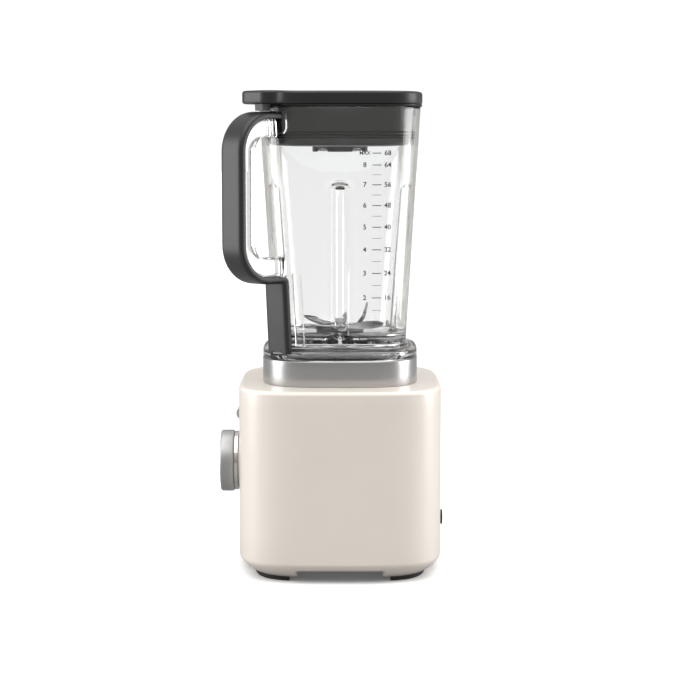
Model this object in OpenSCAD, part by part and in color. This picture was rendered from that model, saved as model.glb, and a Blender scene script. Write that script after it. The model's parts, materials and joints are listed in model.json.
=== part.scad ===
// Countertop blender: a rounded square base with the motor and controls, and a
// fluted square jar with a corner handle, a blade set, and a lid with a measuring cap.
// Z is the motor axis and z = 0 is the table. The dial faces -X, and the handle
// stands over the corner where X and Y are both negative.

/* [Base] */
// Half the depth of the base, front to back
base_half_x = 88.5; // [86:0.5:91]
// Half the width of the base
base_half_y = 97; // [94:0.5:99]
// Height of the base's top deck above the table
deck_z = 165; // [164:0.5:168]
// Wall thickness of the base housing
base_wall = 3; // [2.5:0.5:3.5]
// How square the base is in plan: 2 is an ellipse, more is squarer
base_square = 4.4; // [4:0.1:5.5]
// How far the foot of the base draws in
foot_inset = 13; // [11:0.5:14]
// Height of the rubber foot pads
pad_h = 3.7; // [3:0.1:4.5]
// Half the width of the arches between the feet
arch_half = 41; // [38:1:43]
// Height of the arches above the table
arch_z = 10.7; // [9.5:0.1:11]

/* [Pedestal] */
// Half the width of the metal ring that the jar stands on
ring_half = 68.2; // [66:0.1:69]
// Top of the metal ring
ring_z = 187.4; // [187:0.1:187.5]
// How square the ring and the jar's foot are in plan
ring_square = 3.2; // [3:0.1:3.6]

/* [Jar] */
// Half the width of the jar at its rim
rim_half = 70; // [69:0.5:71]
// Half the width of the jar just above its foot
waist_half = 58.4; // [57.5:0.1:59]
// Top of the rim
rim_z = 404; // [402:0.5:405]
// Inside floor of the jar
floor_z = 206; // [205.8:0.1:206.2]
// Wall thickness
jar_wall = 3; // [2.6:0.1:3.2]
// How square the jar is in plan
jar_square = 4.2; // [4:0.1:5]
// Depth of the flute pressed into each wall
flute_depth = 8; // [5:0.5:8]
// Angle that half a flute takes up, seen from the axis
flute_angle = 11; // [9:1:12]
// Top of the flutes
flute_z = 341; // [330:1:350]

/* [Handle] */
// Distance from the motor axis to the outside of the grip
grip_reach = 129; // [126:0.5:131]
// Top of the handle
grip_top = 399.5; // [398:0.5:400]
// Underside of the hand loop
grip_low = 254; // [248:1:258]
// Radius of the handle's outer bends
grip_bend = 34; // [30:1:36]
// Thickness of the black grip, measured away from the jar
grip_thick = 6; // [5.5:0.5:6.5]
// Thickness of the clear core inside the grip
core_thick = 16; // [15:0.5:16.5]
// Width of the grip
grip_width = 26; // [25:0.5:27]
// Distance from the motor axis to the outside of the stem below the loop
stem_reach = 80; // [79:0.5:81]

/* [Lid] */
// Half the width of the lid
lid_half = 71.5; // [71:0.5:72.5]
// Thickness of the lid's plate
lid_thick = 12.5; // [12:0.5:13]
// Distance from the motor axis to the end of the lid's tab
tab_reach = 104; // [100:1:106]
// How far the lid's plug reaches into the jar
plug_depth = 34; // [33:0.5:35]
// Outside radius of the lid's centre tube
tube_r = 24.5; // [24:0.5:25]

/* [Controls] */
// Height of the dial's centre
dial_z = 90.5; // [85:0.5:92]
// Radius of the dial
dial_r = 27.5; // [25:0.5:28]
// Distance from the motor axis to the front of the dial
dial_reach = 106.3; // [106:0.1:107.5]
// Centre of the toggle, across the front of the base
toggle_y = -12.5; // [-16:0.5:-10]
// Height of the toggle's pivot
toggle_z = 138; // [138:0.5:140]

/* [Blades] */
// Radius swept by the longest wings
blade_r = 44; // [38:0.5:45]
// Thickness of the blade steel
blade_thick = 2; // [1.6:0.1:2.2]

/* [Motor] */
// Radius of the rotor core
core_r = 26.4; // [25:0.1:26.5]
// Radius of the shafts
shaft_r = 4; // [3.95:0.05:4]
// Running clearance between a shaft and its bearing
running = 0.05; // [0.02:0.01:0.1]

/* [Hidden] */
$fn = 64;

outline_steps = 64;      // points round a rounded square
jar_steps = 60;          // points round the jar, so that a flute has points on both sides
cut = 1;                 // how far a cutting solid runs past what it cuts

lid_z = rim_z + 0.5;     // underside of the lid's plate
lid_top = lid_z + lid_thick;
plug_z = rim_z - plug_depth + 0.5;
jar_z = ring_z + 0.2;    // the jar's foot, just clear of the metal ring
dial_back = 90.5;        // where the dial's skirt starts, in front of the housing's boss
bracket_top = 152;       // top of the upper motor bracket
bracket_low = 36;        // underside of the lower motor bracket
stator_low = 75;
stator_top = 130;
bolt_at = 40;            // motor bolts, from each mid-plane
boss_x = 34;             // screw bosses of the base plate
boss_y = 80;
plate_low = 11.2;
plate_top = 14.2;
gland_z = 39;
gland_r = 6.6;
toggle_x = -80;          // the toggle's pivot
carrier_bore = 17.5;     // hole in the jar's floor
bearing_r = 11;

// Radius at angle a of a rounded square with half-widths hx and hy
function ray(a, hx, hy, n) =
    pow(pow(abs(cos(a)) / hx, n) + pow(abs(sin(a)) / hy, n), -1 / n);

function plan(hx, hy, n, steps = outline_steps) = [
    for (i = [0 : steps - 1]) let (a = 360 * i / steps)
        ray(a, hx, hy, n) * [cos(a), sin(a)]
];

// The same outline as a ring of points at height z
function ring(hx, hy, n, z) = [for (p = plan(hx, hy, n)) [p.x, p.y, z]];

// 1 on the middle line of each wall, falling smoothly to 0 at the flute's edges
function flute(a) =
    let (off = abs(a - 90 * round(a / 90)))
    off < flute_angle ? (1 + cos(180 * off / flute_angle)) / 2 : 0;

// One ring of the jar: half-width, height, squareness and depth of the flutes
function jar_ring(half, z, n, depth) = [
    for (i = [0 : jar_steps - 1])
        let (a = 360 * i / jar_steps, r = ray(a, half, half, n) - depth * flute(a))
        [r * cos(a), r * sin(a), z]
];

// Half-width of the jar's outside at height z
function jar_half(z) =
    waist_half + (rim_half - waist_half) * (z - floor_z) / (rim_z - floor_z);

// Joins rings of points into a closed solid, with flat ends or end to end
module skin(rings, joined = false) {
    n = len(rings[0]);
    m = len(rings);
    sides = [
        for (k = [0 : m - (joined ? 1 : 2)], i = [0 : n - 1])
            let (j = (i + 1) % n, up = (k + 1) % m)
            [k * n + i, up * n + i, up * n + j, k * n + j]
    ];
    low = [for (i = [0 : n - 1]) i];
    top = [for (i = [n - 1 : -1 : 0]) (m - 1) * n + i];
    polyhedron([for (r = rings) each r], joined ? sides : concat(sides, [low, top]));
}

// Straight prism over a rounded square
module slab(hx, hy, n, z, h)
    translate([0, 0, z]) linear_extrude(h) polygon(plan(hx, hy, n));

module frame_slab(half, inner, n, z, h)
    difference() {
        slab(half, half, n, z, h);
        slab(inner, inner, n, z - cut, h + 2 * cut);
    }

module disc(r, z, h) translate([0, 0, z]) cylinder(r = r, h = h);

module washer(r, bore, z, h)
    difference() {
        disc(r, z, h);
        disc(bore, z - cut, h + 2 * cut);
    }

// Cylinder along X, from x towards +X
module rod_x(r, x, h, y, z) translate([x, y, z]) rotate([0, 90, 0]) cylinder(r = r, h = h);

// Repeats its children at the four corners of a rectangle
module corners(x, y)
    for (sx = [-1, 1], sy = [-1, 1]) translate([sx * x, sy * y, 0]) children();

// Turns a drawing of distance against height to stand over the handle's corner
module over_corner(width)
    rotate([0, 0, 225]) rotate([90, 0, 0]) linear_extrude(width, center = true) children();

// ---- base ----

// Rings of the housing's skin, drawn in by wall
function housing_rings(wall) = let (edge = 3.5) [
    for (t = [0 : 0.25 : 1]) let (in = wall + foot_inset * pow(1 - t, 1.6))
        ring(base_half_x - in, base_half_y - in, base_square, pad_h + 13.3 * t),
    for (a = [0, 30, 60, 90]) let (in = wall + edge * (1 - cos(a)))
        ring(base_half_x - in, base_half_y - in, base_square, deck_z - wall - edge * (1 - sin(a)))
];

module foot_arch(reach)
    rotate([90, 0, 0]) linear_extrude(2 * reach, center = true)
        polygon([[-arch_half - 7, -cut], [arch_half + 7, -cut], [arch_half, arch_z], [-arch_half, arch_z]]);

module base_housing() color("antiquewhite") {
    difference() {
        union() {
            difference() {
                skin(housing_rings(0));
                difference() {
                    skin(housing_rings(base_wall));
                    translate([0, 0, pad_h]) corners(base_half_x, base_half_y)
                        cube([80, 96, 12], center = true);
                }
            }
            rod_x(24, -dial_back + 0.4, 4, 0, dial_z);
            for (y = [-30, 30], z = [64, 118]) rod_x(3, -86.5, 10.5, y, z);
            for (sx = [-1, 1], sy = [-1, 1]) {
                translate([sx * boss_x, sy * boss_y, plate_top]) cylinder(r = 4.5, h = 22);
                translate([sx * boss_x - 1.5, sy * (boss_y + 7) - 8, plate_top + 3]) cube([3, 16, 19]);
            }
        }
        foot_arch(120);
        rotate([0, 0, 90]) foot_arch(120);
        disc(24, deck_z - 6, 10);
        rod_x(3.3, -95, 15, 0, dial_z);
        rod_x(5.1, 80, 15, 0, gland_z);
        translate([-96, toggle_y - 6.7, toggle_z - 10.5]) cube([14, 13.4, 16.5]);
        corners(boss_x, boss_y) disc(1.6, plate_top - cut, 21);
    }
}

module base_plate() color("dimgray")
    difference() {
        slab(base_half_x - 9, base_half_y - 9, base_square, plate_low, plate_top - plate_low);
        for (i = [-4 : 4]) translate([10 * i - 2.5, -28, plate_low - cut]) cube([5, 56, 5]);
        corners(boss_x, boss_y) disc(1.9, plate_low - cut, 5);
    }

module foot_pad(sx, sy) color("black")
    intersection() {
        slab(base_half_x - foot_inset - 0.4, base_half_y - foot_inset - 0.4, base_square, 0, pad_h);
        translate([sx * 90, sy * 90, 0]) cube([82, 82, 20], center = true);
    }

module base_screws() color("silver")
    corners(boss_x, boss_y) {
        disc(3.2, plate_low - 2, 2);
        disc(1.55, plate_low - 0.5, 20);
    }

// ---- pedestal under the jar ----

module pedestal_ring() color("silver")
    frame_slab(ring_half, ring_half - 2.2, ring_square, deck_z, ring_z - deck_z);

module pedestal_frame() color("dimgray") {
    half = ring_half - 2.4;
    top = ring_z - 3.4;
    difference() {
        union() {
            frame_slab(half, half - 3, ring_square, deck_z, top - 4 - deck_z);
            slab(half, half, ring_square, top - 4, 4);
            disc(23, deck_z, top - deck_z);
        }
        disc(20, deck_z - cut, 40);
    }
}

module jar_pad() color("black")
    difference() {
        union() {
            slab(ring_half - 4.5, ring_half - 4.5, ring_square, ring_z - 3.4, 3.2);
            frame_slab(ring_half - 7.2, 30, ring_square, ring_z - 3.4, 6.6);
        }
        disc(22, ring_z - 5, 10);
    }

// ---- motor, fixed parts ----

// Ring sector from angle a, seen from above
module sector(r, thick, z, h, a, sweep)
    rotate([0, 0, a]) rotate_extrude(angle = sweep) translate([r, z]) square([thick, h]);

module motor_stator() color("slategray")
    difference() {
        intersection() {
            translate([-48, -48, stator_low]) cube([96, 96, stator_top - stator_low]);
            disc(60, stator_low, stator_top - stator_low);
        }
        disc(27, stator_low - cut, 80);
        for (a = [57, 237]) sector(26, 13, stator_low - cut, 80, a, 66);
        corners(bolt_at, bolt_at) disc(2.6, stator_low - cut, 80);
    }

// A coil lies round one pole: two runs through the stator and two curved ends
module field_coil(turn) color("peru") rotate([0, 0, turn]) {
    for (a = [61, -87]) sector(28.3, 9.5, stator_low - 5, 66, a, 26);
    for (z = [stator_low - 10, stator_top + 1]) sector(27.8, 10.5, z, 9, -88, 176);
}

module upper_bracket() color("silver")
    difference() {
        union() {
            intersection() {
                translate([-48, -48, bracket_top - 6]) cube([96, 96, 6]);
                disc(60, bracket_top - 6, 6);
            }
            for (a = [0, 90, 180, 270]) rotate([0, 0, a]) translate([40, -8, bracket_top - 6]) cube([22, 16, 6]);
            disc(15, bracket_top - 9, 9);
        }
        disc(bearing_r, bracket_top - 10, 7);
        disc(6, bracket_top - 12, 20);
        for (a = [22.5 : 45 : 360]) sector(20, 12, bracket_top - 7, 8, a, 22);
        corners(bolt_at, bolt_at) disc(2.6, bracket_top - 7, 8);
    }

module lower_bracket() color("silver")
    difference() {
        union() {
            intersection() {
                translate([-48, -48, bracket_low]) cube([96, 96, 6]);
                disc(60, bracket_low, 6);
            }
            disc(15, bracket_low, 10);
            corners(bolt_at, bolt_at) disc(6, bracket_low, stator_low - bracket_low);
        }
        disc(bearing_r, bracket_low + 3, 8);
        disc(6, bracket_low - cut, 20);
        for (a = [22.5 : 45 : 360]) sector(20, 12, bracket_low - cut, 8, a, 22);
        corners(bolt_at, bolt_at) disc(2.6, bracket_low - cut, 60);
    }

module motor_bolts() color("darkgray")
    corners(bolt_at, bolt_at) {
        disc(4.5, bracket_low - 3, 3);
        disc(2.5, bracket_low - 3, bracket_top - bracket_low + 6);
        disc(4, bracket_top, 4);
    }

module motor_mounts() color("black")
    for (a = [0, 90, 180, 270]) rotate([0, 0, a])
        washer_at(54, 7, 2.5, bracket_top, deck_z - base_wall - bracket_top);

module washer_at(x, r, bore, z, h) translate([x, 0, 0]) washer(r, bore, z, h);

module bearing(z) color("silver") washer(bearing_r, shaft_r + running, z, 7);

module brush_holder(side) color("dimgray") rotate([0, 0, side])
    difference() {
        translate([17, -8, bracket_low + 6]) cube([26, 16, 21]);
        translate([17 - cut, -5.2, bracket_low + 17]) cube([28, 10.4, 8.4]);
    }

module carbon_brush(side) color("dimgray") rotate([0, 0, side])
    difference() {
        translate([12, -5, bracket_low + 17.2]) cube([20, 10, 8]);
        disc(13.1, bracket_low, 40);
    }

module brush_springs() color("silver") for (a = [90, 270]) rotate([0, 0, a])
    for (i = [0 : 4]) translate([32.6 + 2 * i, 0, bracket_low + 21.2]) rotate([0, 90, 0])
        washer(3.4, 2.6, 0, 1.2);

// ---- controls ----

module control_board() color("darkgreen")
    difference() {
        translate([-76, -36, 58]) cube([1.6, 72, 66]);
        for (y = [-30, 30], z = [64, 118]) rod_x(1.6, -78, 5, y, z);
    }

module board_capacitors() color("navy") {
    for (y = [-24, 24]) rod_x(6, -74.4, 12, y, 100);
    translate([-74.4, -26, 66]) cube([8, 22, 14]);
    translate([-74.4, 6, 66]) cube([6, 20, 10]);
}

module dial_encoder() color("dimgray")
    difference() {
        translate([-84, -8, dial_z - 8]) cube([8, 16, 16]);
        rod_x(3 + running, -85, 6, 0, dial_z);
    }

module toggle_bracket() color("dimgray")
    difference() {
        union() {
            for (y = [-9.5, 7.5]) translate([-84, toggle_y + y, toggle_z - 5]) cube([12, 2, 10]);
            translate([-72, toggle_y - 9.5, toggle_z - 5]) cube([2, 19, 26]);
        }
        translate([toggle_x, toggle_y + 15, toggle_z]) rotate([90, 0, 0]) cylinder(r = 1.5, h = 30);
    }

module toggle_pin() color("silver")
    translate([toggle_x, toggle_y + 10.5, toggle_z]) rotate([90, 0, 0]) cylinder(r = 1.5, h = 21);

module toggle_switch() color("black") translate([-70, toggle_y - 6, toggle_z - 4]) cube([9, 12, 12]);

module toggle_lever() color("silver") translate([toggle_x, toggle_y, toggle_z]) rotate([90, 0, 0])
    difference() {
        linear_extrude(12, center = true) {
            circle(3.6);
            translate([-6.5, 0.2]) square([6.5, 2.8]);
            difference() {
                translate([-4.3, -2]) circle(7);
                translate([-4.3, -2]) circle(5.4);
                translate([-4.3, -12]) square([20, 20]);
            }
            translate([-5.2, -8]) circle(1.4);
        }
        translate([0, 0, -8]) cylinder(r = 1.5 + running, h = 16);
    }

module dial_knob() color("silver")
    difference() {
        rod_x(dial_r, -dial_reach, dial_reach - dial_back - 4, 0, dial_z);
        rod_x(dial_r - 3.5, -dial_reach - cut, cut + 1.5, 0, dial_z);
        rod_x(3, -dial_reach + 3, 20, 0, dial_z);
    }

module dial_face() color("gainsboro") rod_x(dial_r - 3.6, -dial_reach + 0.3, 1.2, 0, dial_z);

module dial_skirt() color("silver")
    difference() {
        rod_x(dial_r - 1, -dial_back - 3.9, 3.9, 0, dial_z);
        rod_x(3, -dial_back - 5, 6, 0, dial_z);
    }

module dial_spindle() color("darkgray") rod_x(3, -dial_reach + 3, dial_reach - 83, 0, dial_z);

module cord_gland() color("black")
    difference() {
        union() {
            rod_x(gland_r, base_half_x, 3.5, 0, gland_z);
            rod_x(5, base_half_x - 9, 10, 0, gland_z);
        }
        rod_x(3.5, base_half_x - 10, 20, 0, gland_z);
    }

// ---- rotor ----

module rotor_shaft() color("silver") disc(shaft_r, 16, 162);

module rotor_core() color("slategray")
    difference() {
        disc(core_r, stator_low + 1, 53);
        disc(shaft_r, stator_low, 60);
        for (a = [0 : 30 : 330]) rotate([0, 0, a])
            translate([core_r - 9, -1.6, stator_low]) cube([10, 3.2, 60]);
    }

module commutator() color("peru")
    difference() {
        disc(13, 50, 20);
        disc(shaft_r, 49, 30);
        for (a = [7.5 : 15 : 360]) rotate([0, 0, a]) translate([12, -0.3, 49]) cube([2, 0.6, 17]);
    }

module cooling_fan() color("dimgray")
    difference() {
        union() {
            disc(36, 18, 1.6);
            disc(8, 18, 14);
            for (a = [0 : 36 : 324]) rotate([0, 0, a]) translate([7, -0.8, 18]) cube([28, 1.6, 14]);
        }
        disc(shaft_r, 17, 20);
    }

// Six-lobed drive, or its socket when grown by a clearance
module drive_star(z, h, grow) {
    disc(6 + grow, z, h);
    for (a = [0 : 60 : 300]) rotate([0, 0, a]) translate([6, 0, z]) cylinder(r = 2.2 + grow, h = h);
}

module drive_coupling() color("black")
    difference() {
        union() {
            disc(14, 172, 8);
            drive_star(179, 14.5, 0);
        }
        disc(shaft_r, 171, 7);
    }

module slinger() color("black") washer(12, shaft_r, 156, 3);

// ---- jar ----

function jar_outside() = [
    jar_ring(68, jar_z, ring_square, 0),
    jar_ring(68, jar_z + 6, ring_square, 0),
    jar_ring(66, jar_z + 8.6, ring_square, 0),
    jar_ring(61, jar_z + 10.4, 3.6, 0),
    jar_ring(waist_half - 0.4, floor_z - 4.5, jar_square, 0),
    jar_ring(waist_half, floor_z, jar_square, 0.25 * flute_depth),
    for (z = [floor_z + 6, flute_z - 13]) jar_ring(jar_half(z), z, jar_square, flute_depth),
    jar_ring(jar_half(flute_z - 6), flute_z - 6, jar_square, 0.6 * flute_depth),
    for (z = [flute_z, rim_z]) jar_ring(jar_half(z), z, jar_square, 0)
];

function jar_inside() = [
    for (z = [rim_z, flute_z]) jar_ring(jar_half(z) - jar_wall, z, jar_square, 0),
    jar_ring(jar_half(flute_z - 6) - jar_wall, flute_z - 6, jar_square, 0.6 * flute_depth),
    for (z = [flute_z - 13, floor_z + 6])
        jar_ring(jar_half(z) - jar_wall, z, jar_square, flute_depth),
    jar_ring(waist_half - jar_wall - 1.4, floor_z + 1.5, jar_square, flute_depth),
    jar_ring(waist_half - jar_wall - 5, floor_z, jar_square, flute_depth),
    jar_ring(carrier_bore, floor_z, 2, 0),
    jar_ring(carrier_bore, floor_z - 5, 2, 0),
    jar_ring(waist_half - 4, floor_z - 5.5, jar_square, 0),
    jar_ring(63.5, jar_z + 6.5, ring_square, 0),
    jar_ring(65, jar_z + 2.5, ring_square, 0),
    jar_ring(65, jar_z, ring_square, 0)
];

// What the handle's parts are cut back to: the outside of the jar, grown by gap
module jar_envelope(gap)
    skin([
        jar_ring(waist_half - 0.4 + gap, floor_z - 4.5, jar_square, 0),
        jar_ring(rim_half + gap, rim_z + cut, jar_square, 0)
    ]);

// Rectangle whose two outer corners are round
module loop(reach, low, top, r) {
    translate([50, low]) square([reach - r - 50, top - low]);
    translate([50, low + r]) square([reach - 50, top - low - 2 * r]);
    for (z = [low + r, top - r]) translate([reach - r, z]) circle(r);
}

module jar_body() color("lightcyan", 0.35) {
    skin(concat(jar_outside(), jar_inside()), joined = true);
    difference() {
        over_corner(16)
            difference() {
                loop(grip_reach - grip_thick - 0.1, grip_low + grip_thick + 0.1,
                    grip_top - grip_thick - 0.1, grip_bend - grip_thick);
                loop(grip_reach - grip_thick - core_thick, grip_low + grip_thick + core_thick,
                    grip_top - grip_thick - core_thick, grip_bend - grip_thick - core_thick);
            }
        jar_envelope(-1.5);
    }
}

module handle_grip() color("black")
    difference() {
        union() {
            over_corner(grip_width)
                difference() {
                    loop(grip_reach, grip_low, grip_top, grip_bend);
                    loop(grip_reach - grip_thick, grip_low + grip_thick,
                        grip_top - grip_thick, grip_bend - grip_thick);
                }
            over_corner(grip_width + 2)
                translate([50, jar_z + 11]) square([stem_reach - 50, grip_low + grip_thick - jar_z - 11]);
        }
        jar_envelope(0.2);
        slab(62, 62, jar_square, jar_z, 16);
    }

module blade_carrier() color("silver")
    difference() {
        union() {
            disc(22, floor_z + 0.5, 2.5);
            disc(carrier_bore - 0.3, floor_z - 11, 12);
        }
        disc(bearing_r, floor_z - 12, 11);
        disc(8, floor_z - 2, 4.5);
        disc(5, floor_z, 10);
    }

module carrier_nut() color("dimgray")
    difference() {
        union() {
            disc(23, floor_z - 10, 4.4);
            disc(48, floor_z - 8.4, 2.8);
        }
        disc(carrier_bore - 0.2, floor_z - 11, 8);
        for (a = [0 : 45 : 315]) rotate([0, 0, a]) translate([21, -3, floor_z - 11]) cube([5, 6, 8]);
    }

module carrier_gasket() color("black") washer(21.6, carrier_bore, floor_z, 0.5);

module shaft_seal() color("black") washer(7.9, shaft_r + running, floor_z - 1, 3.5);

// ---- blades ----

// A wing of the blade set: starts at the hub, tapers to a sharp tip, and tilts up
module wing(turn, tilt, reach, width)
    rotate([0, 0, turn]) translate([8, 0, 0]) rotate([0, -tilt, 0])
        linear_extrude(blade_thick)
            polygon([[-1, -width / 2], [reach * 0.62, -width / 2], [reach, width / 2 - 1],
                [reach - 2, width / 2], [-1, width / 2]]);

module blade_hub(z)
    difference() {
        translate([0, 0, z]) children();
        disc(shaft_r, z - 20, 60);
    }

module lower_blades() color("silver")
    blade_hub(floor_z + 4) {
        cylinder(r = 11, h = blade_thick);
        for (a = [12, 192]) wing(a, 2, blade_r - 9, 15);
        wing(84, -3, 27, 13);
    }

module upper_blades() color("silver")
    blade_hub(floor_z + 6.8) {
        cylinder(r = 10, h = blade_thick);
        wing(-24, 45, 28, 10);
        wing(158, 19, 30, 10);
        wing(276, 30, 26, 10);
    }

module blade_shaft() color("silver") disc(shaft_r, floor_z - 11.8, 24);

module blade_nut() color("silver")
    difference() {
        disc(7, floor_z + 8.9, 4.2, $fn = 6);
        disc(shaft_r, floor_z + 8, 4.4);
    }

module driven_coupling() color("dimgray")
    difference() {
        union() {
            disc(12, jar_z + 0.8, 6);
            disc(8, jar_z + 6, 4);
        }
        drive_star(jar_z - cut, 7.2, 0.5);
        disc(shaft_r, jar_z + 5, 10);
    }

// ---- lid and cap ----

function lid_plan(grow) = plan(lid_half + grow, lid_half + grow, jar_square);

module lid_cover() color("black")
    difference() {
        union() {
            slab(lid_half, lid_half, jar_square, lid_z, lid_thick);
            translate([0, 0, lid_top - 10]) linear_extrude(10) {
                rotate(225) translate([0, -20]) square([tab_reach - 12, 40]);
                rotate(225) for (y = [-8, 8]) translate([tab_reach - 12, y]) circle(12);
                rotate(225) translate([tab_reach - 12, -8]) square([12, 16]);
            }
            intersection() {
                slab(lid_half + 4.5, lid_half + 4.5, jar_square, lid_z + 1, lid_thick - 1);
                rotate([0, 0, 45]) translate([60, -28, lid_z]) cube([60, 56, 20]);
            }
            over_corner(10) translate([87, grip_top + 0.6]) square([10, 8]);
        }
        disc(tube_r + 0.5, lid_top - 3.2, 10);
        disc(tube_r - 2.8, lid_z - cut, 30);
    }

module lid_insert() color("black")
    difference() {
        union() {
            difference() {
                slab(64, 64, jar_square, plug_z + 8, lid_z - plug_z - 8);
                slab(61, 61, jar_square, plug_z + 2.5, 60);
            }
            skin([
                ring(55, 55, jar_square, plug_z),
                ring(60, 60, jar_square, plug_z + 1.5),
                ring(63, 63, jar_square, plug_z + 4.5),
                ring(64, 64, jar_square, plug_z + 8.2)
            ]);
            disc(tube_r, plug_z - 2.5, lid_z - plug_z + 2.5);
        }
        difference() {
            slab(61, 61, jar_square, plug_z + 4.5, 60);
            disc(tube_r, plug_z - 5, 60);
        }
        disc(tube_r - 2.8, plug_z - 5, 60);
        for (a = [0 : 45 : 315]) rotate([0, 0, a])
            translate([tube_r - 5, -2, plug_z - 5]) cube([8, 4, 4]);
    }

module lid_gasket() color("dimgray")
    difference() {
        for (z = [plug_z + 6.8, plug_z + 9.1, plug_z + 11.4])
            slab(jar_half(z) - jar_wall - 0.4, jar_half(z) - jar_wall - 0.4, jar_square, z, 1);
        slab(64.1, 64.1, jar_square, plug_z, 30);
    }

module centre_cap() color("lightcyan", 0.4) {
    r = tube_r - 3.2;
    difference() {
        union() {
            disc(r, plug_z - 3.5, lid_top - plug_z + 3.5);
            disc(tube_r + 0.2, lid_top - 3, 3);
            intersection() {
                translate([0, 0, plug_z - 5 + 150]) sphere(150);
                disc(r, plug_z - 6, 6);
            }
        }
        disc(r - 2.4, plug_z + 1, 80);
    }
}

base_housing();
base_plate();
foot_pad(-1, -1);  // foot_pad_1
foot_pad(1, -1);  // foot_pad_2
foot_pad(-1, 1);  // foot_pad_3
foot_pad(1, 1);  // foot_pad_4
base_screws();
pedestal_ring();
pedestal_frame();
jar_pad();
motor_stator();
field_coil(0);  // field_coil_1
field_coil(180);  // field_coil_2
upper_bracket();
lower_bracket();
motor_bolts();
motor_mounts();
bearing(bracket_top - 10);  // upper_bearing
bearing(bracket_low + 3);  // lower_bearing
brush_holder(90);  // brush_holder_1
brush_holder(270);  // brush_holder_2
carbon_brush(90);  // carbon_brush_1
carbon_brush(270);  // carbon_brush_2
brush_springs();
control_board();
board_capacitors();
dial_encoder();
toggle_bracket();
toggle_pin();
toggle_switch();
cord_gland();
rotor_shaft();
rotor_core();
commutator();
cooling_fan();
drive_coupling();
slinger();
dial_knob();
dial_skirt();
dial_face();
dial_spindle();
toggle_lever();
jar_body();
handle_grip();
blade_carrier();
carrier_nut();
carrier_gasket();
bearing(floor_z - 8.1);  // carrier_bearing
shaft_seal();
blade_shaft();
upper_blades();
lower_blades();
blade_nut();
driven_coupling();
lid_cover();
lid_insert();
lid_gasket();
centre_cap();
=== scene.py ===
import json
from math import cos, sin, pi, radians, sqrt, atan2

import bmesh
import bpy
from mathutils import Matrix, Vector


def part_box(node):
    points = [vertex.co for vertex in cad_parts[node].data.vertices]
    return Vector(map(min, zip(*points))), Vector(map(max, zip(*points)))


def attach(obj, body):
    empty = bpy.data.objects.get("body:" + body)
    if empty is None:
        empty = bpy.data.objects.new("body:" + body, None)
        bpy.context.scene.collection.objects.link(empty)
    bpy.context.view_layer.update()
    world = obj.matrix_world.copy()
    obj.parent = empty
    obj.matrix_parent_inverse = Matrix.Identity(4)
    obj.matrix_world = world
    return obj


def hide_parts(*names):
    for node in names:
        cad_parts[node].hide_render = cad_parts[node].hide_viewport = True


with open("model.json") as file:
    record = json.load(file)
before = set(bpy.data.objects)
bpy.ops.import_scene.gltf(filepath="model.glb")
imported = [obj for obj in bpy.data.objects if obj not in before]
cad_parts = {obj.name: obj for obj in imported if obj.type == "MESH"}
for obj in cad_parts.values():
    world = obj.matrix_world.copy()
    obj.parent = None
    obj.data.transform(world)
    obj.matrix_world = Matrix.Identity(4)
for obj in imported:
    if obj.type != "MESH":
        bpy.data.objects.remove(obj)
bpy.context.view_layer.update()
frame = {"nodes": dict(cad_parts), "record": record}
mm = 0.001
print("frame loaded:", len(frame["nodes"]), "nodes")


# ---- camera, first, because everything is judged from here
cameraSetup = {
    "away": 1.5575,      # metres from the motor axis
    "height": 0.3662,    # above the table
    "pitch": 6.13,       # degrees down
    "lens": 93.0,
    "sensor": 36.0,
}


def makeCamera():
    data = bpy.data.cameras.new("sideCamera")
    data.lens = cameraSetup["lens"]
    data.sensor_width = cameraSetup["sensor"]
    data.clip_end = 50
    camera = bpy.data.objects.new("sideCamera", data)
    bpy.context.collection.objects.link(camera)
    camera.location = (0, -cameraSetup["away"], cameraSetup["height"])
    camera.rotation_euler = (radians(90 - cameraSetup["pitch"]), 0, 0)
    bpy.context.scene.camera = camera


makeCamera()
bpy.context.scene.view_settings.view_transform = "Standard"
print("camera placed")


# ---- lights and floor
studio = {
    "horizon": (0.345, 0.332, 0.32),
    "overhead": (0.95, 0.95, 0.95),
    "behind": (0.98, 0.98, 0.98),
    "topSun": 2.2,
    "sunTilt": 13,        # degrees towards the camera
    "boxes": [((-1.2, -0.10, 0.34), 10), ((1.2, 0.04, 0.34), 10.8)],
    "boxSize": (0.75, 1.0),
    "floorSeen": 0.96,    # the floor as the camera sees it
    "floorThrough": 0.60,  # through clear plastic, straight behind
    "floorAside": (0.30, 0.285, 0.265),   # through clear plastic, off to the sides
    "floorBounce": 0.27,  # in reflections and as fill light
    # floorGlow: a painted glow on the floor that lifts the shadow under the base
    "floorGlow": 0.09,
}


def mixColour(nodes, links, amount, first, second):
    mix = nodes.new("ShaderNodeMix")
    mix.data_type = "RGBA"
    links.new(amount, mix.inputs[0])
    for place, colour in ((6, first), (7, second)):
        if isinstance(colour, tuple):
            mix.inputs[place].default_value = (*colour, 1)
        else:
            links.new(colour, mix.inputs[place])
    return mix.outputs[2]


def rampUp(nodes, links, value, low, high):
    reach = nodes.new("ShaderNodeMapRange")
    reach.interpolation_type = "SMOOTHSTEP"
    reach.inputs["From Min"].default_value = low
    reach.inputs["From Max"].default_value = high
    links.new(value, reach.inputs["Value"])
    return reach.outputs["Result"]


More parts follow.
